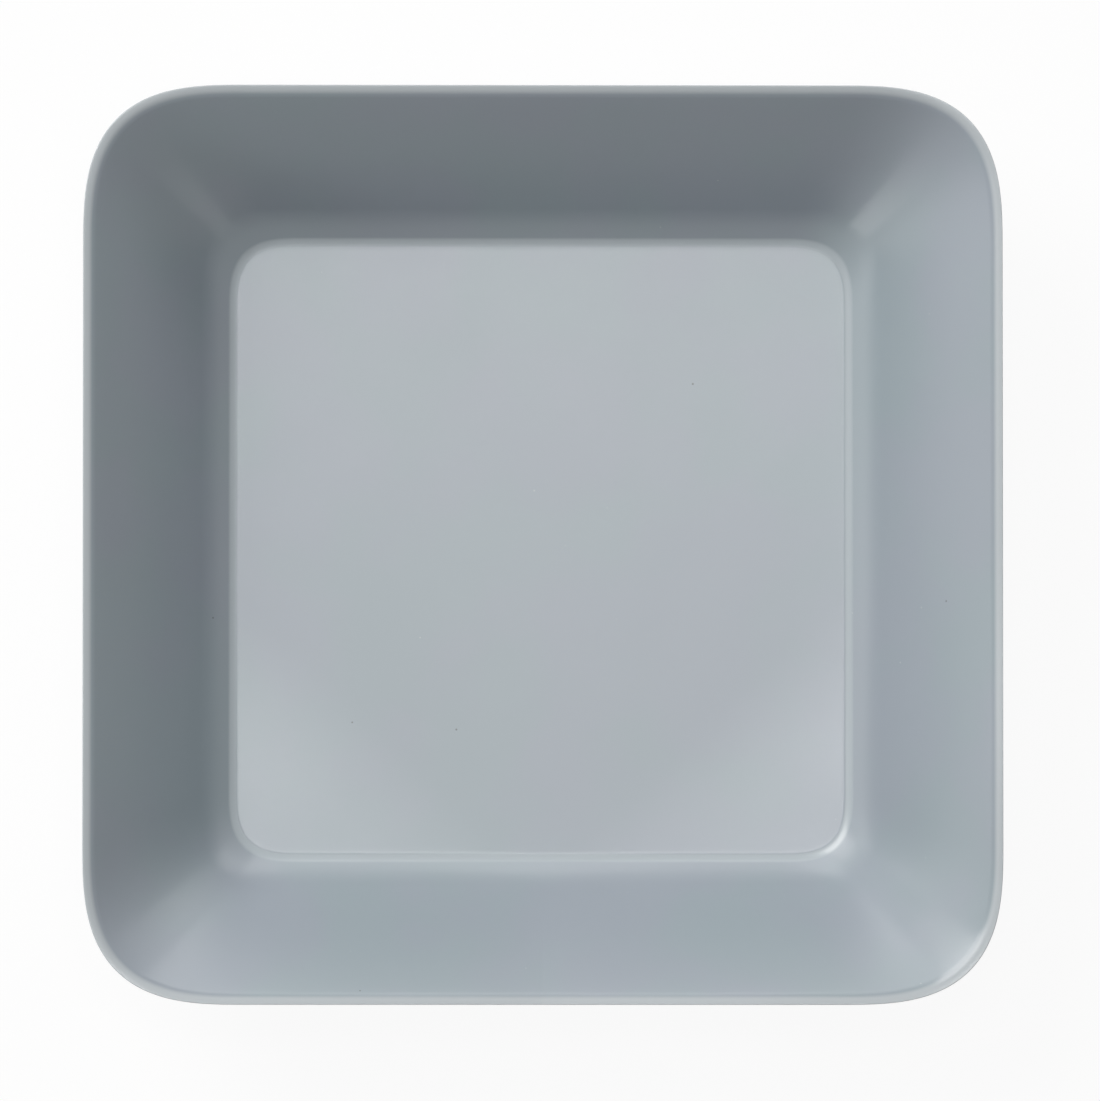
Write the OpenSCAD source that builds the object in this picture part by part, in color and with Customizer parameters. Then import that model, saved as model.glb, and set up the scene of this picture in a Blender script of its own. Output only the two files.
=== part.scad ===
// Square ceramic plate with four sloping walls and a flat well.
// A pressed and fired clay body carries two coats of glaze, kept apart by the bare foot ring.
// One profile, given as corners with fillet radii, is swept round a soft-cornered square.
// Millimetres, +Z up. The origin is the centre of the foot's bearing face, on the table.

/* [Rim] */
// Finished width of the plate across the rim
side = 160; // [130:5:300]
// Finished height from the table to the top of the lip
height = 29; // [26:0.5:38]
// Length of side that each soft corner of the rim takes up
rim_corner = 28; // [22:1:40]
// Width of the top of the lip between its two sharp corners
lip_w = 1.1; // [1:0.1:2.4]
// Slope of the lip's top, which falls from its outer edge towards the wall, in degrees
lip_slope = 16; // [8:1:22]
// Fillet radius where the lip's top turns down into the wall
lip_inner_r = 3.4; // [1:0.1:4]
// Fillet radius on the outer edge of the lip
lip_outer_r = 0.2; // [0.2:0.1:0.8]
// Height of the upright flank below the lip
flank_h = 2.4; // [2:0.1:4]
// Fillet radius where the flank turns under into the wall
flank_r = 1.4; // [0.6:0.1:1.6]

/* [Well and wall] */
// Distance in plan from the rim to the crease round the well
wall_run = 25.5; // [22:0.5:32]
// How far the middle of the wall bows in from a straight line between its ends
wall_bow = 0.4; // [0.1:0.1:0.8]
// Length of side that each soft corner of the well takes up
well_corner = 12.5; // [10:0.5:20]
// Thickness of the sloping wall where it meets the base
wall_t = 4; // [3.4:0.1:5]
// Fillet radius of the crease between the well and the cove
crease_r = 3; // [2:0.2:6]
// Slope of the cove between the well and the wall, in degrees
cove_angle = 38; // [30:1:40]
// Length of the cove along its slope
cove_len = 5.2; // [4:0.2:7]
// Fillet radius where the cove turns up into the wall
cove_r = 30; // [10:5:60]

/* [Corners] */
// Exponent of the soft corners' curve, which is a circular arc at 2 and squarer above it
corner_power = 3; // [2.4:0.1:5]

/* [Base and foot] */
// Thickness of the clay under the well
floor_t = 3.6; // [3:0.1:5]
// Height of the foot ring below the base
foot_h = 2; // [1.6:0.1:3]
// Gap that the foot leaves inside the crease of a plate stacked below
stack_gap = 4; // [3:0.5:8]
// Width of the foot's bearing face
foot_face_w = 2.6; // [2:0.2:5]
// Sideways lean of each flank of the foot, from its face to its root
foot_draft = 0.5; // [0.2:0.1:0.8]
// Fillet radius on the edges of the bearing face
foot_edge_r = 0.4; // [0.2:0.1:0.6]
// Fillet radius at the root of the foot
foot_root_r = 0.9; // [0.4:0.1:1]
// Fillet radius of the heel under the wall
heel_r = 6; // [3:0.5:7]
// Shortest length of side that a soft corner of the foot may take up
least_corner = 6; // [4:1:12]

/* [Glaze] */
// Thickness of the fired glaze
glaze_t = 0.35; // [0.2:0.05:0.5]
// Height on the foot at which the glaze was wiped away
glaze_line = 0.8; // [0.6:0.1:1]

/* [Fineness] */
// Points on each soft corner of an outline
corner_points = 20; // [12:1:22]
// Largest turn that one facet of a fillet takes, in degrees
arc_step = 15; // [12:1:20]

/* [Hidden] */
full_turn = 360;
quarter_turn = 90;
corner_count = round(corner_points);
outline_points = 4 * corner_count;

// Planes and outlines of the clay
clay_half = side / 2 - glaze_t;
clay_top = height - glaze_t;
crease_half = clay_half - wall_run;
well_z = foot_h + floor_t;
foot_half = crease_half - stack_gap;
foot_inner_half = foot_half - foot_face_w;

// The lip's top falls inwards, and its outer edge is rounded without losing height
lip_outer_turn = quarter_turn + lip_slope;
lip_outer_fillet = min(lip_outer_r, fillet_limit(lip_w / 2, lip_outer_turn));
lip_crest_z = clay_top + lip_outer_fillet * (tan(lip_slope) + 1 / cos(lip_slope) - 1);
lip_inner_z = lip_crest_z - lip_w * tan(lip_slope);

// The wall runs from the top of the cove to the inner corner of the lip
cove_half = crease_half + cove_len * cos(cove_angle);
cove_z = well_z + cove_len * sin(cove_angle);
lip_inner_half = clay_half - lip_w;
wall_angle = atan2(lip_inner_z - cove_z, lip_inner_half - cove_half);
half_wall = norm([lip_inner_z - cove_z, lip_inner_half - cove_half]) / 2;

// It bows in, so it is steepest at the cove. A corner half way up carries its long fillet
bow_offset = 2 * wall_bow;
bow_angle = atan2(bow_offset, half_wall);
bow_half = (cove_half + lip_inner_half) / 2 - bow_offset * sin(wall_angle);
bow_z = (cove_z + lip_inner_z) / 2 + bow_offset * cos(wall_angle);

// How far a fillet reaches along the sides of its corner, and the largest that such a room holds
function fillet_reach(radius, turn) = radius * tan(abs(turn) / 2);
function fillet_limit(room, turn) = room / tan(abs(turn) / 2);

cove_turn = wall_angle + bow_angle - cove_angle;
lip_turn = wall_angle - bow_angle - lip_slope;
cove_room = cove_len - fillet_reach(crease_r, cove_angle);
cove_fillet = min(cove_r, fillet_limit(cove_room, cove_turn));
lip_room = lip_w / cos(lip_slope) - fillet_reach(lip_outer_fillet, lip_outer_turn);
lip_fillet = min(lip_inner_r, fillet_limit(lip_room, lip_turn));
bow_room = half_wall - max(fillet_reach(cove_fillet, cove_turn), fillet_reach(lip_fillet, lip_turn));
bow_fillet = fillet_limit(bow_room, 2 * bow_angle);

// The outside of the wall reaches the base below the cove
heel_drop = cove_z - wall_t * cos(wall_angle) - foot_h;
heel_half = cove_half + wall_t * sin(wall_angle) - heel_drop / tan(wall_angle);

// Corners of the clay's profile. Each is [distance from the centre line, height, fillet radius]
foot_outer_root = [foot_half + foot_draft, foot_h, foot_root_r];
foot_outer_edge = [foot_half, 0, foot_edge_r];
foot_inner_edge = [foot_inner_half, 0, foot_edge_r];
foot_inner_root = [foot_inner_half - foot_draft, foot_h, foot_root_r];
clay_corners = [
    [0, well_z, 0],
    [crease_half, well_z, crease_r],
    [cove_half, cove_z, cove_fillet],
    [bow_half, bow_z, bow_fillet],
    [lip_inner_half, lip_inner_z, lip_fillet],
    [clay_half, lip_crest_z, lip_outer_fillet],
    [clay_half, clay_top - flank_h, flank_r],
    [heel_half, foot_h, heel_r],
    foot_outer_root,
    foot_outer_edge,
    foot_inner_edge,
    foot_inner_root,
    [0, foot_h, 0]
];
outer_root_index = 8;
inner_root_index = 11;

// The length of side that a soft corner takes up at a given distance from the centre line
function corner_at(half) =
    max(least_corner,
        well_corner + (rim_corner - well_corner) * (half - crease_half) / wall_run);

// One closed outline at a given height, a soft corner at a time
function outline(half, z) =
    let (
        corner = corner_at(half),
        straight = half - corner,
        power = 2 / corner_power
    )
    [
        for (start = [0 : quarter_turn : full_turn - quarter_turn])
        for (i = [0 : corner_count - 1])
        let (
            turn = quarter_turn * i / (corner_count - 1),
            along = straight + corner * pow(cos(turn), power),
            across = straight + corner * pow(sin(turn), power)
        )
        [along * cos(start) - across * sin(start), along * sin(start) + across * cos(start), z]
    ];

function heading(from, to) = atan2(to[1] - from[1], to[0] - from[0]);

// The change of heading at a corner, between minus and plus half a turn
function turn_at(before, corner, after) =
    let (change = heading(corner, after) - heading(before, corner))
    change - full_turn * round(change / full_turn);

// The points of a fillet, each [distance, height, heading]. Clay lies on the right of the heading
function fillet(before, corner, after) =
    let (
        start = heading(before, corner),
        turn = turn_at(before, corner, after),
        reach = fillet_reach(corner[2], turn),
        side_of_centre = sign(turn),
        steps = ceil(abs(turn) / arc_step),
        centre = [
            corner[0] - reach * cos(start) - side_of_centre * corner[2] * sin(start),
            corner[1] - reach * sin(start) + side_of_centre * corner[2] * cos(start)
        ]
    )
    [
        for (i = [0 : steps])
        let (now = start + turn * i / steps)
        [
            centre[0] + side_of_centre * corner[2] * sin(now),
            centre[1] - side_of_centre * corner[2] * cos(now),
            now
        ]
    ];

// Every point of the profile between two of its corners, both included
function profile(first, last) = [
    for (i = [first : last])
    each fillet(clay_corners[i - 1], clay_corners[i], clay_corners[i + 1])
];

// The same points moved out from the clay by the thickness of the glaze
function coated(points) = [
    for (p = points)
    [p[0] - glaze_t * sin(p[2]), p[1] + glaze_t * cos(p[2]), p[2]]
];

function reversed(list) = [for (i = [len(list) - 1 : -1 : 0]) list[i]];

// The point at which a flank of the foot, from its face up to its root, crosses the glaze line
function on_flank(face, root, flank_heading) = [
    face[0] + (root[0] - face[0]) * glaze_line / foot_h,
    glaze_line,
    flank_heading
];

clay_profile = profile(1, inner_root_index);
top_clay = concat(
    profile(1, outer_root_index),
    [on_flank(foot_outer_edge, foot_outer_root, heading(foot_outer_root, foot_outer_edge))]
);
base_clay = concat(
    [on_flank(foot_inner_edge, foot_inner_root, heading(foot_inner_edge, foot_inner_root))],
    profile(inner_root_index, inner_root_index)
);

// Faces between two outlines. Clay and glaze split each patch along the same diagonal
function band(first, second, against) = [
    for (i = [0 : outline_points - 1])
    let (
        next = (i + 1) % outline_points,
        a = first + i,
        b = first + next,
        c = second + i,
        d = second + next
    )
    each against ? [[a, b, c], [b, d, c]] : [[a, b, d], [a, d, c]]
];

function cap(centre, ring, facing_up) = [
    for (i = [0 : outline_points - 1])
    let (next = (i + 1) % outline_points)
    facing_up ? [centre, ring + next, ring + i] : [centre, ring + i, ring + next]
];

// A closed solid whose section is the profile's points, with clay or glaze on their right.
// The strips from number against_from up to against_to run against the clay's own order.
module swept(points, against_from, against_to) {
    count = len(points);
    first_ring = 1;
    far_centre = first_ring + count * outline_points;
    polyhedron(
        points = concat(
            [[0, 0, points[0][1]]],
            [for (p = points) each outline(p[0], p[1])],
            [[0, 0, points[count - 1][1]]]
        ),
        faces = concat(
            cap(0, first_ring, true),
            [
                for (i = [0 : count - 2])
                each band(
                    first_ring + i * outline_points,
                    first_ring + (i + 1) * outline_points,
                    i >= against_from && i < against_to
                )
            ],
            cap(far_centre, first_ring + (count - 1) * outline_points, false)
        ),
        convexity = 6
    );
}

// The pressed and fired clay, bare only round the foot's bearing face
module clay_body() {
    color([0.86, 0.83, 0.77])
    swept(clay_profile, 0, 0);
}

// The glaze over the well, the walls, the lip and the outside, down to the foot
module glaze_coat() {
    color([0.67, 0.70, 0.72])
    swept(concat(coated(top_clay), reversed(top_clay)), len(top_clay), 2 * len(top_clay));
}

// The separate coat of glaze inside the foot ring
module base_glaze() {
    color([0.67, 0.70, 0.72])
    swept(concat(reversed(base_clay), coated(base_clay)), 0, len(base_clay) - 1);
}

clay_body();
glaze_coat();
base_glaze();
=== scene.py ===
"""Square glazed plate, seen from nearly straight above on a white table."""

import math

import bmesh
import bpy
from mathutils import Matrix, Vector


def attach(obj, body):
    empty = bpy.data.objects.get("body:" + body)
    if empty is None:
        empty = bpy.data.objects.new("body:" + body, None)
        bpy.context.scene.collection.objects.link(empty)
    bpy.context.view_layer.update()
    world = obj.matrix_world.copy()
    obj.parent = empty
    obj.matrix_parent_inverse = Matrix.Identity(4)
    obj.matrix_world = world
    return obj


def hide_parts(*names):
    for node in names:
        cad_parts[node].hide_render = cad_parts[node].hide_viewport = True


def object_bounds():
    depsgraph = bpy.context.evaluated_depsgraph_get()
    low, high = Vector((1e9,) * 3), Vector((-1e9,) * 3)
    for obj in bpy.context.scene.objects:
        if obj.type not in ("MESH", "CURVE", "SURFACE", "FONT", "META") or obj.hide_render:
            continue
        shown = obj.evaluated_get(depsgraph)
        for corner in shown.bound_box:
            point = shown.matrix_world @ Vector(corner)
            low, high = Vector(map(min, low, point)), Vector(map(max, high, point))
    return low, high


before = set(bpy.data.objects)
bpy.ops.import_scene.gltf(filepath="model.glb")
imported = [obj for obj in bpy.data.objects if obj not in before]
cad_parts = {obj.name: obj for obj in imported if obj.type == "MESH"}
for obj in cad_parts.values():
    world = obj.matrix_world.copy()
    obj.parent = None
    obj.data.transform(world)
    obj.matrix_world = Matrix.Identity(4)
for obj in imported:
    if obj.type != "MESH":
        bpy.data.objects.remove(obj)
solid_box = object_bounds()

MM = 0.001
plate_side = solid_box[1].x - solid_box[0].x
plate_height = solid_box[1].z - solid_box[0].z

# Sizes of the clay and its glaze, the same as in the solids
GLAZE = 0.35 * MM
GLAZE_LINE = 0.8 * MM
LIP_WIDTH = 1.1 * MM
LIP_SLOPE = math.radians(16)
LIP_EDGE = 0.13 * MM
FLANK_HEIGHT = 2.4 * MM
WALL_RUN = 25.5 * MM
WALL_BOW = 0.4 * MM
WALL_THICKNESS = 4 * MM
COVE_SLOPE = math.radians(38)
COVE_LENGTH = 5.2 * MM
FLOOR_THICKNESS = 3.6 * MM
FOOT_HEIGHT = 2 * MM
STACK_GAP = 4 * MM
FOOT_FACE_WIDTH = 2.6 * MM
FOOT_DRAFT = 0.5 * MM
RIM_CORNER = 28 * MM
WELL_CORNER = 12.5 * MM
CORNER_POWER = 3

# Fillet radii of the clay
CREASE_FILLET = 3 * MM
COVE_FILLET = 30 * MM
LIP_INNER_FILLET = 3.4 * MM
FLANK_FILLET = 1.4 * MM
HEEL_FILLET = 6 * MM
FOOT_ROOT_FILLET = 0.9 * MM
FOOT_EDGE_FILLET = 0.4 * MM

# Fineness of the meshes
CORNER_STEPS = 56
FILLET_STEPS = 8
WALL_STEPS = 10
EDGE_STEPS = 4
EDGE_TURN = math.radians(60)
SMOOTH_TURN = math.radians(40)
CLOSE = 0.005 * MM
FLAT_FRAME = 0.6 * MM
LARGE_FACE = 1000 * MM**2

# Places that follow from the sizes
clay_half = plate_side / 2 - GLAZE
clay_top = plate_height - GLAZE
crease_half = clay_half - WALL_RUN
well_height = FOOT_HEIGHT + FLOOR_THICKNESS
foot_half = crease_half - STACK_GAP
foot_inner_half = foot_half - FOOT_FACE_WIDTH

# The glaze is thin on the lip's outer edge, which is nearly sharp and the highest line of the plate
edge_loss = LIP_EDGE * (math.tan(LIP_SLOPE) + 1 / math.cos(LIP_SLOPE) - 1)
edge_glaze = GLAZE * math.cos(LIP_SLOPE) / (1 - math.sin(LIP_SLOPE))
lip_crest = plate_height + edge_loss - edge_glaze
lip_inner_height = lip_crest - LIP_WIDTH * math.tan(LIP_SLOPE)

cove_half = crease_half + COVE_LENGTH * math.cos(COVE_SLOPE)
cove_height = well_height + COVE_LENGTH * math.sin(COVE_SLOPE)
lip_inner_half = clay_half - LIP_WIDTH
wall_slope = math.atan2(lip_inner_height - cove_height, lip_inner_half - cove_half)
heel_drop = cove_height - WALL_THICKNESS * math.cos(wall_slope) - FOOT_HEIGHT
heel_half = cove_half + WALL_THICKNESS * math.sin(wall_slope) - heel_drop / math.tan(wall_slope)

# Outlines of the clay from the well round to the recess: half width, height, fillet radius
well_crease = (crease_half, well_height, CREASE_FILLET)
cove = (cove_half, cove_height, COVE_FILLET)
lip_inner = (lip_inner_half, lip_inner_height, LIP_INNER_FILLET)
lip_outer = (clay_half, lip_crest, 0)
flank = (clay_half, clay_top - FLANK_HEIGHT, FLANK_FILLET)
heel = (heel_half, FOOT_HEIGHT, HEEL_FILLET)
foot_outer_root = (foot_half + FOOT_DRAFT, FOOT_HEIGHT, FOOT_ROOT_FILLET)
foot_outer_edge = (foot_half, 0, FOOT_EDGE_FILLET)
foot_inner_edge = (foot_inner_half, 0, FOOT_EDGE_FILLET)
foot_inner_root = (foot_inner_half - FOOT_DRAFT, FOOT_HEIGHT, FOOT_ROOT_FILLET)
wiped_share = GLAZE_LINE / FOOT_HEIGHT
outer_wiped_line = (foot_half + FOOT_DRAFT * wiped_share, GLAZE_LINE, 0)
inner_wiped_line = (foot_inner_half - FOOT_DRAFT * wiped_share, GLAZE_LINE, 0)


def deselect_all():
    """Nothing stays selected before a new piece is begun."""
    bpy.ops.object.select_all(action="DESELECT")


def corner_length(half):
    """The length of side that a soft corner takes up, at that distance from the plate's centre."""
    share = (half - crease_half) / WALL_RUN
    return WELL_CORNER + (RIM_CORNER - WELL_CORNER) * share


def bowed_wall():
    """The outlines between the cove and the lip, on a shallow arc that is steepest at the cove."""
    run = lip_inner[0] - cove[0]
    rise = lip_inner[1] - cove[1]
    stops = []
    for step in range(1, WALL_STEPS):
        share = step / WALL_STEPS
        off = 4 * WALL_BOW * share * (1 - share) / math.hypot(run, rise)
        stops.append((cove[0] + run * share - rise * off, cove[1] + rise * share + run * off, 0))
    return stops


def fillet_reach(before, corner, after):
    """How far a corner's fillet reaches along the sides beside it."""
    into = math.atan2(corner[1] - before[1], corner[0] - before[0])
    out_of = math.atan2(after[1] - corner[1], after[0] - corner[0])
    turn = math.remainder(out_of - into, math.tau)
    return corner[2] * math.tan(abs(turn) / 2)


def start_outline(name, half, height):
    """The first outline of a piece: a plane whose four corners are rounded off."""
    deselect_all()
    bpy.ops.mesh.primitive_plane_add(size=2 * half, location=(0, 0, height))
    piece = bpy.context.object
    piece.name = piece.data.name = name
    bpy.ops.object.transform_apply(location=True, rotation=False, scale=False)
    bpy.ops.object.mode_set(mode="EDIT")
    bpy.ops.mesh.bevel(
        offset_type="OFFSET",
        offset=corner_length(half),
        segments=CORNER_STEPS,
        profile=2 ** (-2 / CORNER_POWER),
        affect="VERTICES",
        clamp_overlap=False,
    )
    return piece


def chosen_vertices(piece):
    """The numbers of the vertices that are selected."""
    mesh = bmesh.from_edit_mesh(piece.data)
    mesh.verts.index_update()
    return {vertex.index for vertex in mesh.verts if vertex.select}


def choose_vertices(piece, numbers):
    """Selects these vertices, and the edges between them."""
    mesh = bmesh.from_edit_mesh(piece.data)
    mesh.verts.ensure_lookup_table()
    bpy.ops.mesh.select_all(action="DESELECT")
    for number in numbers:
        mesh.verts[number].select = True
    mesh.select_flush(True)
    bmesh.update_edit_mesh(piece.data)


def draw_outline_on(piece, old, new):
    """Extrudes the selected outline to the next one.

    The outline is scaled until its soft corners have their new length. Then each corner is moved to
    its place.
    """
    bpy.ops.mesh.extrude_edges_move()
    growth = corner_length(new[0]) / corner_length(old[0])
    bpy.ops.transform.resize(value=(growth, growth, 1))
    drift = new[0] - old[0] * growth
    outline = chosen_vertices(piece)
    mesh = bmesh.from_edit_mesh(piece.data)
    mesh.verts.ensure_lookup_table()
    places = {number: mesh.verts[number].co.copy() for number in outline}
    for right in (-1, 1):
        for far in (-1, 1):
            corner = [n for n, at in places.items() if at.x * right > 0 and at.y * far > 0]
            choose_vertices(piece, corner)
            bpy.ops.transform.translate(value=(right * drift, far * drift, new[1] - old[1]))
    choose_vertices(piece, outline)


def lies_on(point, outline):
    """Whether a point is on an outline, within a few thousandths of a millimetre."""
    corner = corner_length(outline[0])
    straight = outline[0] - corner
    across = [max(abs(along) - straight, 0) ** CORNER_POWER for along in (point.x, point.y)]
    off = sum(across) ** (1 / CORNER_POWER) - corner
    return abs(off) < CLOSE and abs(point.z - outline[1]) < CLOSE


def skin(name, outlines, ends, floors):
    """A surface through the outlines, with their fillets.

    ends are the corners before the first outline and after the last, and floors says which of those
    two outlines is closed with a flat face.
    """
    piece = start_outline(name, outlines[0][0], outlines[0][1])
    if not floors[0]:
        bpy.ops.mesh.delete(type="ONLY_FACE")
        bpy.ops.mesh.select_all(action="SELECT")
    for old, new in zip(outlines, outlines[1:]):
        steps = WALL_STEPS if abs(new[0] - old[0]) > WALL_RUN / 2 else 1
        stops = [[a + (b - a) * i / steps for a, b in zip(old, new)] for i in range(steps + 1)]
        for before, after in zip(stops, stops[1:]):
            draw_outline_on(piece, before, after)
    if floors[1]:
        bpy.ops.mesh.edge_face_add()
    bpy.ops.object.mode_set(mode="OBJECT")

    corners = [ends[0], *outlines, ends[1]]
    reaches = [fillet_reach(*corners[i : i + 3]) for i in range(len(outlines))]
    weights = piece.data.attributes.new("bevel_weight_edge", "FLOAT", "EDGE")
    for edge in piece.data.edges:
        tips = [piece.data.vertices[number].co for number in edge.vertices]
        for outline, reach in zip(outlines, reaches):
            if all(lies_on(tip, outline) for tip in tips):
                weights.data[edge.index].value = reach / max(reaches)
    fillets = piece.modifiers.new("fillets", "BEVEL")
    fillets.limit_method = "WEIGHT"
    fillets.offset_type = "OFFSET"
    fillets.width = max(reaches)
    fillets.segments = FILLET_STEPS
    fillets.use_clamp_overlap = False
    bpy.ops.object.modifier_apply(modifier=fillets.name)
    face_outwards(piece)
    frame_flat_faces(piece)
    return piece


def frame_flat_faces(piece):
    """Insets the large flat faces, so that the fillets' shading ends just inside their edges."""
    bpy.ops.object.mode_set(mode="EDIT")
    bpy.ops.mesh.select_all(action="DESELECT")
    mesh = bmesh.from_edit_mesh(piece.data)
    for face in mesh.faces:
        if face.calc_area() > LARGE_FACE:
            face.select_set(True)
    bmesh.update_edit_mesh(piece.data)
    bpy.ops.mesh.inset(thickness=FLAT_FRAME)
    bpy.ops.object.mode_set(mode="OBJECT")


def face_outwards(piece):
    """Merges doubles and turns every face outwards."""
    bpy.ops.object.mode_set(mode="EDIT")
    bpy.ops.mesh.select_all(action="SELECT")
    bpy.ops.mesh.remove_doubles(threshold=MM / 1000)
    bpy.ops.mesh.normals_make_consistent(inside=False)
    bpy.ops.object.mode_set(mode="OBJECT")


class Wire:
    """A shader socket that can be used in a sum."""

    def __init__(self, paint, socket):
        self.paint = paint
        self.socket = socket

    def sum_with(self, operation, *values):
        return self.paint.node("ShaderNodeMath", {"operation": operation}, *values)["Value"]

    def __add__(self, other):
        return self.sum_with("ADD", self, other)

    def __radd__(self, other):
        return self.sum_with("ADD", other, self)

    def __sub__(self, other):
        return self.sum_with("SUBTRACT", self, other)

    def __rsub__(self, other):
        return self.sum_with("SUBTRACT", other, self)

    def __mul__(self, other):
        return self.sum_with("MULTIPLY", self, other)

    def __rmul__(self, other):
        return self.sum_with("MULTIPLY", other, self)


class Outputs:
    """The outputs of one node, by name."""

    def __init__(self, paint, made):
        self.paint = paint
        self.made = made

    def __getitem__(self, name):
        return Wire(self.paint, self.made.outputs[name])


class Paint:
    """One material or world, and the nodes that it is made of."""

    def __init__(self, holder):
        holder.use_nodes = True
        self.tree = holder.node_tree
        self.tree.nodes.clear()

    def node(self, kind, settings, *by_place, **by_name):
        """Adds a node. Its settings are set first, and then its sockets, by place or by name."""
        made = self.tree.nodes.new(kind)
        for name, value in settings.items():
            setattr(made, name, value)
        named = [(name.replace("_", " "), value) for name, value in by_name.items()]
        for socket, value in [*enumerate(by_place), *named]:
            if isinstance(value, Wire):
                self.tree.links.new(value.socket, made.inputs[socket])
            else:
                made.inputs[socket].default_value = value
        return Outputs(self, made)

    def place(self):
        """The point on the piece, in metres from the plate's centre."""
        return self.node("ShaderNodeTexCoord", {})["Object"]

    def axis(self, place, letter):
        """One coordinate of a point."""
        return self.node("ShaderNodeSeparateXYZ", {}, place)[letter]

    def grain(self, place, size, detail=2, roughness=0.5):
        """Even noise round one half, whose blotches are about that size in metres."""
        return self.node(
            "ShaderNodeTexNoise",
            {},
            Vector=place,
            Scale=1 / size,
            Detail=detail,
            Roughness=roughness,
        )["Fac"]

    def ease(self, value, start, end):
        """0 up to start and 1 from end on, with a soft change between."""
        return self.node(
            "ShaderNodeMapRange",
            {"interpolation_type": "SMOOTHSTEP"},
            Value=value,
            From_Min=start,
            From_Max=end,
        )["Result"]

    def blend(self, share, under, over):
        """The colour over, laid on the colour under by that share."""
        mixed = self.node("ShaderNodeMix", {"data_type": "RGBA"})
        for socket, value in ((0, share), (6, under), (7, over)):
            if isinstance(value, Wire):
                self.tree.links.new(value.socket, mixed.made.inputs[socket])
            else:
                mixed.made.inputs[socket].default_value = value
        return Wire(self, mixed.made.outputs[2])

    def specks(self, place, spacing, radius):
        """1 on scattered specks of that radius, with about one to each cube of that spacing."""
        nearest = self.node("ShaderNodeTexVoronoi", {}, Vector=place, Scale=1 / spacing)["Distance"]
        return 1 - self.ease(nearest, SPECK_CORE * radius / spacing, radius / spacing)

    def relief(self, height, depth, under=None):
        """A normal from a height, of that depth in metres at 1."""
        sockets = {"Height": height, "Distance": depth, "Strength": 1}
        if under is not None:
            sockets["Normal"] = under
        return self.node("ShaderNodeBump", {}, **sockets)["Normal"]

    def finish_with(self, shader, output="ShaderNodeOutputMaterial"):
        """Leads the shader to the output."""
        self.node(output, {}, Surface=shader)


def new_paint(name):
    """An empty material, and the paint that fills it."""
    material = bpy.data.materials.new(name)
    return material, Paint(material)


# Colours of the glaze and the bare clay
GLAZE_GREY_LIGHT = (0.312, 0.357, 0.393, 1)
GLAZE_GREY_DARK = (0.288, 0.333, 0.371, 1)
GLAZE_GREENER = (0.292, 0.352, 0.376, 1)
GLAZE_VIOLET = (0.31, 0.34, 0.39, 1)
GLAZE_THIN_LIP_HIGHLIGHT = (0.47, 0.51, 0.535, 1)
GLAZE_CREASE_HIGHLIGHT = (0.41, 0.46, 0.49, 1)
IRON_SPECK = (0.09, 0.08, 0.07, 1)
PALE_SPECK = (0.5, 0.53, 0.54, 1)
BISCUIT = (0.66, 0.62, 0.55, 1)
BISCUIT_SHADE = (0.55, 0.51, 0.45, 1)

# Where the glaze turns thin and paler towards the lip's top, which is partly a painted highlight on
# the lip, and where a paler band is painted along the crease and the cove above the well as a painted
# highlight. Each pair is where a change starts and ends
THIN_LIP_HIGHLIGHT_HEIGHTS = (plate_height - 0.6 * MM, plate_height - 0.2 * MM)
THIN_LIP_HIGHLIGHT_SHARE = 0.9
CREASE_START = (0.005 * MM, 0.05 * MM)
CREASE_END = (0.3 * MM, 0.7 * MM)
COVE_END = (2 * MM, 4 * MM)
COVE_SHARE = 0.15

# The pool in the near corners of the well: along their diagonals, and from far to near
POOL_DIAGONAL = (42 * MM, 94 * MM)
POOL_NEARNESS = (15 * MM, -45 * MM)
POOL_DEPTH = 2.1 * MM

# Sizes of the mottling in the colour, the specks, the gloss and the surface
CLOUD_SIZE = 38 * MM
DRIFT_SIZE = 21 * MM
DRIFT_NOISE = (0.35, 0.65)
DRIFT_SHARE = 0.5
SPECK_CORE = 0.6
IRON_SPACING = 9 * MM
IRON_RADIUS = 0.22 * MM
IRON_SHARE = 0.55
PALE_SPACING = 7 * MM
PALE_RADIUS = 0.16 * MM
PALE_SHARE = 0.5
SMEAR_SIZE = 14 * MM
SWELL_SIZE = 11 * MM
SWELL_DEPTH = 0.02 * MM
RIPPLE_SIZE = 1.8 * MM
RIPPLE_DEPTH = 0.003 * MM
GRIT_SIZE = 0.35 * MM
GRIT_DEPTH = 0.03 * MM
GRIT_SHARE = 0.5
PATCH_SIZE = 12 * MM
PATCH_SHARE = 0.4

GLAZE_ROUGHNESS = 0.2
SMEAR_ROUGHNESS = 0.05
CLAY_ROUGHNESS = 0.62
GRIT_ROUGHNESS = 0.2
GLASS_INDEX = 1.5


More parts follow.
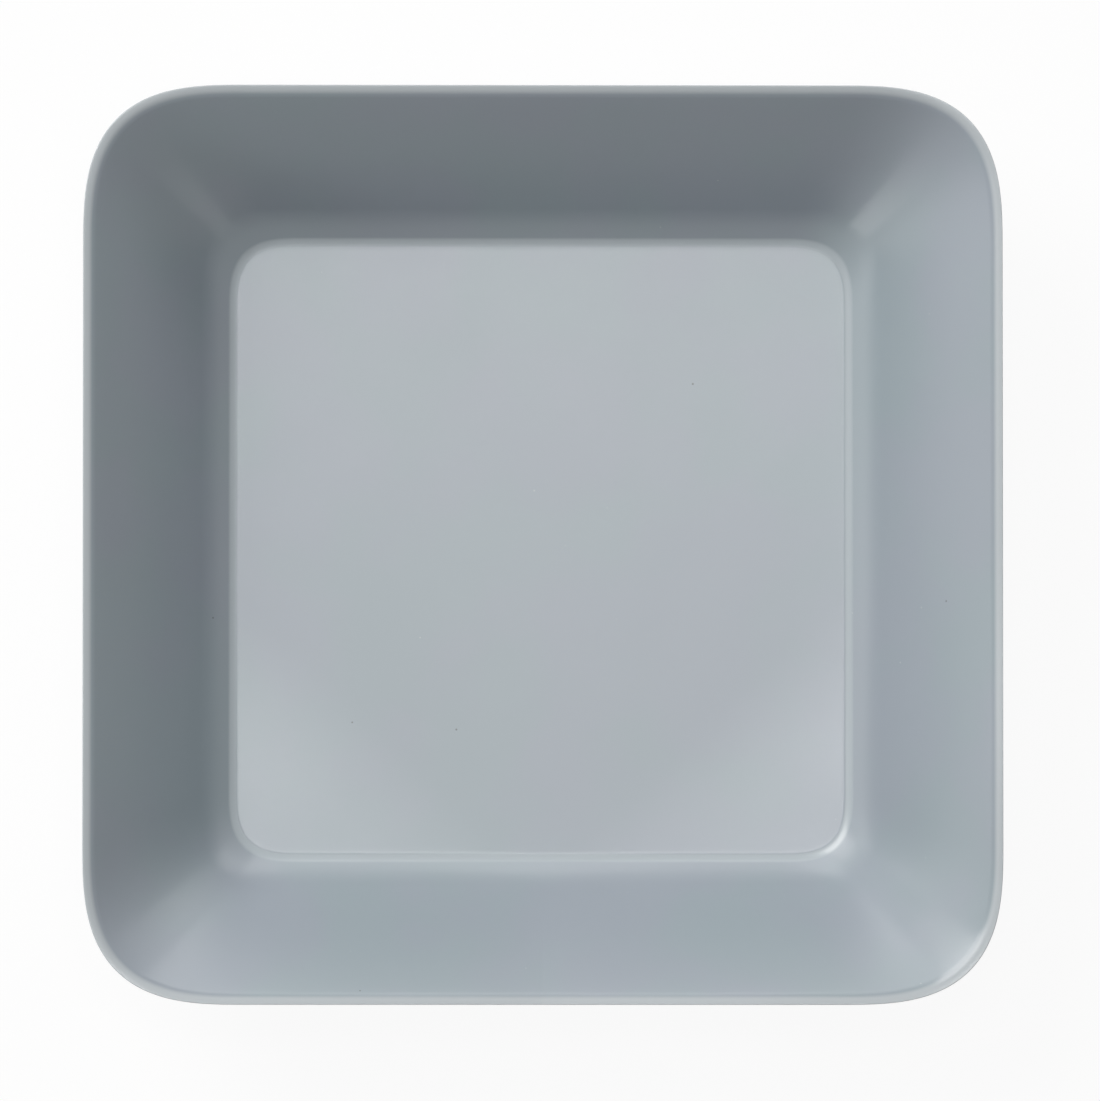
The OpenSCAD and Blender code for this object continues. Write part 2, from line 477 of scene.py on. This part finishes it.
def glaze_paint():
    """An opaque pale grey glaze, glossy and faintly mottled."""
    material, paint = new_paint("grey_glaze")
    place = paint.place()
    height = paint.axis(place, "Z")

    # Its colour drifts between a little greener and a little more violet. It is paler where it thins
    # over the lip, which is partly a painted highlight there, and a paler band along the crease and
    # the cove above that is a painted highlight
    cloud = paint.grain(place, CLOUD_SIZE, detail=3)
    drift = paint.ease(paint.grain(place, DRIFT_SIZE), *DRIFT_NOISE)
    colour = paint.blend(cloud, GLAZE_GREY_DARK, GLAZE_GREY_LIGHT)
    colour = paint.blend(DRIFT_SHARE, colour, paint.blend(drift, GLAZE_GREENER, GLAZE_VIOLET))
    # Painted highlight: the lip's top is painted paler, partly for the thinner glaze and partly in
    # place of the light its edge catches
    thin = paint.ease(height, *THIN_LIP_HIGHLIGHT_HEIGHTS)
    colour = paint.blend(thin * THIN_LIP_HIGHLIGHT_SHARE, colour, GLAZE_THIN_LIP_HIGHLIGHT)
    # Painted highlight: a paler band is painted along the crease and the cove, in place of the light
    # they catch
    above = height - (well_height + GLAZE)
    past_crease = paint.ease(above, *CREASE_END)
    crease = paint.ease(above, *CREASE_START) * (1 - past_crease)
    coved = past_crease * (1 - paint.ease(above, *COVE_END))
    colour = paint.blend(crease + coved * COVE_SHARE, colour, GLAZE_CREASE_HIGHLIGHT)
    iron = paint.specks(place, IRON_SPACING, IRON_RADIUS)
    colour = paint.blend(iron * IRON_SHARE, colour, IRON_SPECK)
    pale = paint.specks(place, PALE_SPACING, PALE_RADIUS)
    colour = paint.blend(pale * PALE_SHARE, colour, PALE_SPECK)

    # It ran a little towards the near corners and pooled there, and its skin has long waves and a
    # fine ripple
    along = paint.node("ShaderNodeVectorMath", {"operation": "ABSOLUTE"}, place)["Vector"]
    diagonal = (paint.axis(along, "X") + paint.axis(along, "Y")) * math.sqrt(0.5)
    nearer = paint.ease(paint.axis(place, "Y"), *POOL_NEARNESS)
    pool = paint.relief(paint.ease(diagonal, *POOL_DIAGONAL) * nearer, POOL_DEPTH)
    swell = paint.relief(paint.grain(place, SWELL_SIZE, detail=1), SWELL_DEPTH, pool)
    ripple = paint.relief(paint.grain(place, RIPPLE_SIZE), RIPPLE_DEPTH, swell)

    smear = paint.grain(place, SMEAR_SIZE, detail=3)
    body = paint.node(
        "ShaderNodeBsdfPrincipled",
        {},
        Base_Color=colour,
        Roughness=GLAZE_ROUGHNESS + SMEAR_ROUGHNESS * smear,
        IOR=GLASS_INDEX,
        Normal=ripple,
    )
    paint.finish_with(body["BSDF"])
    return material


def clay_paint():
    """Fired clay without glaze, ground smooth on the foot's face."""
    material, paint = new_paint("bare_clay")
    place = paint.place()
    grit = paint.grain(place, GRIT_SIZE, detail=4, roughness=0.7)
    patch = paint.grain(place, PATCH_SIZE, detail=3)
    colour = paint.blend(grit * GRIT_SHARE + patch * PATCH_SHARE, BISCUIT, BISCUIT_SHADE)
    body = paint.node(
        "ShaderNodeBsdfPrincipled",
        {},
        Base_Color=colour,
        Roughness=CLAY_ROUGHNESS + GRIT_ROUGHNESS * grit,
        IOR=GLASS_INDEX,
        Normal=paint.relief(grit, GRIT_DEPTH),
    )
    paint.finish_with(body["BSDF"])
    return material


WHITE = (1, 1, 1, 1)
TABLE_WHITE = (0.9, 0.9, 0.9, 1)
TABLE_GLOW = 0.93
TABLE_SIDE = 12


def seen_rays(paint):
    """1 for the rays of the camera, of gloss and of clear materials, and 0 for all others."""
    rays = paint.node("ShaderNodeLightPath", {})
    return rays["Is Camera Ray"] + rays["Is Glossy Ray"] + rays["Is Transmission Ray"]


def table_paint():
    """A white table that keeps the plate's shadow."""
    material, paint = new_paint("white_table")
    seen = seen_rays(paint)
    matt = paint.node("ShaderNodeBsdfDiffuse", {}, Color=TABLE_WHITE)
    glow = paint.node("ShaderNodeEmission", {}, Color=WHITE, Strength=1)
    mixed = paint.node("ShaderNodeMixShader", {}, seen * TABLE_GLOW, matt["BSDF"], glow["Emission"])
    paint.finish_with(mixed["Shader"])
    return material


def room():
    """A surround that the camera and the gloss see as white. Only the lamps light matt surfaces."""
    world = bpy.data.worlds.new("room")
    bpy.context.scene.world = world
    paint = Paint(world)
    seen = seen_rays(paint)
    dark = paint.node("ShaderNodeBackground", {}, Color=WHITE, Strength=0)
    white = paint.node("ShaderNodeBackground", {}, Color=WHITE, Strength=1)
    mixed = paint.node("ShaderNodeMixShader", {}, seen, dark["Background"], white["Background"])
    paint.finish_with(mixed["Shader"], "ShaderNodeOutputWorld")


LAMP_DISTANCE = 2.0
KEY_LIGHT = (1, 0.98, 0.96)


def softbox(name, right, far, half_width, half_depth, brightness, colour=(1, 1, 1)):
    """A soft lamp of that brightness, aimed at the plate, which the camera doesn't see.

    It stands so many degrees to the right and to the far side of straight above, and reaches
    half_width and half_depth degrees to either side.
    """
    lamp = bpy.data.lights.new(name, "AREA")
    lamp.shape = "RECTANGLE"
    lamp.size = 2 * LAMP_DISTANCE * math.tan(math.radians(half_width))
    lamp.size_y = 2 * LAMP_DISTANCE * math.tan(math.radians(half_depth))
    lamp.energy = brightness * math.pi * lamp.size * lamp.size_y
    lamp.color = colour
    held = bpy.data.objects.new(name, lamp)
    bpy.context.scene.collection.objects.link(held)
    slant = math.radians(math.hypot(right, far))
    side = math.atan2(far, right)
    way = Vector((math.cos(side) * math.sin(slant), math.sin(side) * math.sin(slant), math.cos(slant)))
    held.location = way * LAMP_DISTANCE
    held.rotation_euler = (-way).to_track_quat("-Z", "Y").to_euler()
    held.visible_camera = False


def panel(name, turn, low, high, half_width, brightness):
    """An upright panel between two heights in degrees. Its turn is counted from the right."""
    slant = 90 - (low + high) / 2
    turn = math.radians(turn)
    right = slant * math.cos(turn)
    far = slant * math.sin(turn)
    softbox(name, right, far, half_width, (high - low) / 2, brightness)


PHOTO_PIXELS = 1101
PLATE_PIXELS = 920.5
PLATE_CENTRE_PIXEL = (543.6, 544.2)
CAMERA_DISTANCE = 2.5
CAMERA_LEAN_LEFT = math.radians(1.0)
CAMERA_LEAN_NEAR = math.radians(2.4)
SENSOR = 36


def camera():
    """Nearly straight above, leaning a little towards the near side and the left."""
    view = bpy.data.cameras.new("camera")
    held = bpy.data.objects.new("camera", view)
    bpy.context.scene.collection.objects.link(held)
    pixel = plate_side / PLATE_PIXELS
    way = Vector((-math.tan(CAMERA_LEAN_LEFT), -math.tan(CAMERA_LEAN_NEAR), 1)).normalized()
    right = Vector((0, 1, 0)).cross(way).normalized()
    up = way.cross(right)
    middle = PHOTO_PIXELS / 2
    aim = Vector((0, 0, plate_height))
    aim += right * (middle - PLATE_CENTRE_PIXEL[0]) * pixel
    aim -= up * (middle - PLATE_CENTRE_PIXEL[1]) * pixel
    turn = Matrix((right, up, way)).transposed().to_4x4()
    held.matrix_world = Matrix.Translation(aim + way * CAMERA_DISTANCE) @ turn
    view.sensor_width = SENSOR
    view.lens = SENSOR * CAMERA_DISTANCE / (PHOTO_PIXELS * pixel)
    view.clip_end = 4 * CAMERA_DISTANCE
    bpy.context.scene.camera = held


def table():
    """The white table that the plate stands on."""
    deselect_all()
    bpy.ops.mesh.primitive_plane_add(size=TABLE_SIDE, location=(0, 0, 0))
    top = bpy.context.object
    top.name = top.data.name = "table_top"
    top.data.materials.append(table_paint())


def coat(piece, side):
    """Gives a glaze skin its thickness, and takes the sharpness off its edges.

    The side is 1 where the skin's faces look away from the clay, and -1 where they look into it.
    """
    coating = piece.modifiers.new("coating", "SOLIDIFY")
    coating.thickness = GLAZE
    coating.offset = side
    coating.use_even_offset = True
    edges = piece.modifiers.new("edges", "BEVEL")
    edges.limit_method = "ANGLE"
    edges.angle_limit = EDGE_TURN
    edges.offset_type = "OFFSET"
    edges.width = LIP_EDGE * math.tan((math.pi / 2 + LIP_SLOPE) / 2)
    edges.segments = EDGE_STEPS
    bpy.context.view_layer.objects.active = piece
    for modifier in (coating, edges):
        bpy.ops.object.modifier_apply(modifier=modifier.name)


def smooth(piece):
    """Shades the curved faces smooth and keeps the sharp edges."""
    deselect_all()
    piece.select_set(True)
    bpy.context.view_layer.objects.active = piece
    bpy.ops.object.shade_smooth_by_angle(angle=SMOOTH_TURN)


def dress(piece, material, node):
    """The piece takes its finish and stands for its node."""
    smooth(piece)
    piece.data.materials.append(material)
    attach(piece, "root")
    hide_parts(node)


axis_top = (0, well_height, 0)
axis_recess = (0, FOOT_HEIGHT, 0)
walls_and_lip = [
    well_crease,
    cove,
    *bowed_wall(),
    lip_inner,
    lip_outer,
    flank,
    heel,
    foot_outer_root,
]

clay = skin(
    "pressed_clay",
    [*walls_and_lip, foot_outer_edge, foot_inner_edge, foot_inner_root],
    (axis_top, axis_recess),
    (True, True),
)
dress(clay, clay_paint(), "clay_body")

grey_glaze = glaze_paint()
upper_glaze = skin(
    "glaze_over_well_and_walls",
    [*walls_and_lip, outer_wiped_line],
    (axis_top, foot_outer_edge),
    (True, False),
)
coat(upper_glaze, 1)
dress(upper_glaze, grey_glaze, "glaze_coat")

recess_glaze = skin(
    "glaze_in_foot_ring",
    [inner_wiped_line, foot_inner_root],
    (foot_inner_edge, axis_recess),
    (False, True),
)
coat(recess_glaze, -1)
dress(recess_glaze, grey_glaze, "base_glaze")

table()
room()

# Lamps about straight above, and upright panels round the plate
softbox("overhead", 1, 0, 9, 6, 3.5)
softbox("overhead_far", 0, 10, 10, 4, 8.0)
softbox("overhead_right", 14, 2, 5, 6, 1.5)
softbox("overhead_near", 0, -10, 9, 5, 1.7)
softbox("key", -35.5, 35.5, 16, 16, 7.3, KEY_LIGHT)
softbox("left", -30, 10, 14, 8, 1.1, KEY_LIGHT)
softbox("key_far", 0, 33, 24, 14, 0.45, KEY_LIGHT)
panel("low_left", 180, 6, 22, 30, 1.0)
panel("low_near_left", 225, 10, 18, 13, 3.5)
panel("low_near_right", 315, 10, 18, 12, 1.0)
panel("low_right_far", 45, 9, 18, 14, 1.7)
panel("low_far", 90, 2, 10, 30, 0.4)
panel("far", 90, 10, 28, 26, 2.1)

camera()

bpy.context.scene.view_settings.view_transform = "Standard"
